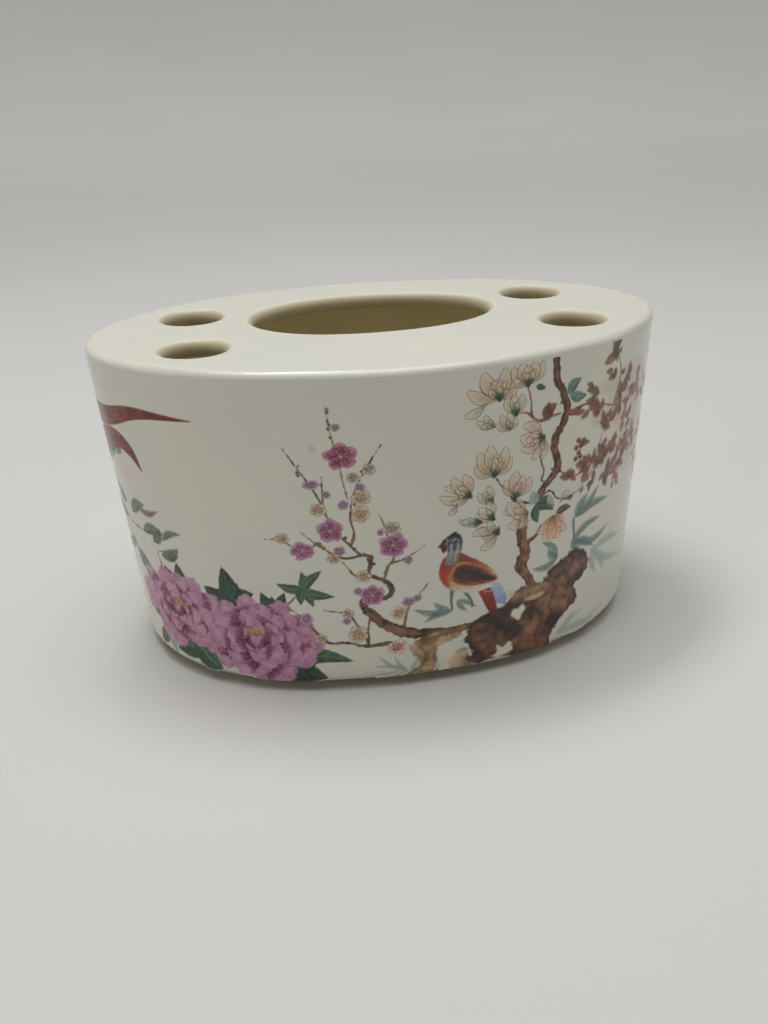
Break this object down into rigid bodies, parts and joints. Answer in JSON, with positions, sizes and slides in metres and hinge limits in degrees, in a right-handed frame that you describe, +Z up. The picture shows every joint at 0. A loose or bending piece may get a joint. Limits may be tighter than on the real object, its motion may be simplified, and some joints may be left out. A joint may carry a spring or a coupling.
{
  "type": "brush holder pot",
  "caption": "Oval glazed porcelain desk pot whose flat pierced top holds upright writing brushes, with flower and bird enamels.",
  "frame": {"origin": "middle of the foot ring's lower face, on the surface the pot stands on", "axes": "+X along the long axis of the oval to the right of the decorated front, +Y to the back, +Z up"},
  "size_m": [0.1596, 0.1042, 0.088],
  "materials": {
    "porcelain_body": "fine white porcelain body, fired",
    "bare_biscuit": "unglazed matt biscuit",
    "clear_glaze": "glossy warm off-white glaze",
    "peony_enamel": "glossy magenta and green overglaze enamel",
    "plum_enamel": "glossy mauve, cream and brown overglaze enamel",
    "magnolia_enamel": "glossy cream, brown and teal overglaze enamel",
    "nandina_enamel": "glossy iron-red and teal overglaze enamel",
    "pheasant_enamel": "glossy iron-red, rust and green overglaze enamel",
    "sprig_enamel": "glossy green and mauve overglaze enamel"
  },
  "bodies": {
    "root": {"cast_wall": "porcelain_body", "pierced_deck": "porcelain_body", "floor_plate": "porcelain_body", "foot_ring": "bare_biscuit", "outer_glaze": "clear_glaze", "liner_glaze": "clear_glaze", "peony_transfer": "peony_enamel", "plum_transfer": "plum_enamel", "magnolia_transfer": "magnolia_enamel", "nandina_transfer": "nandina_enamel", "pheasant_transfer": "pheasant_enamel", "sprig_transfer": "sprig_enamel"}
  },
  "joints": []
}
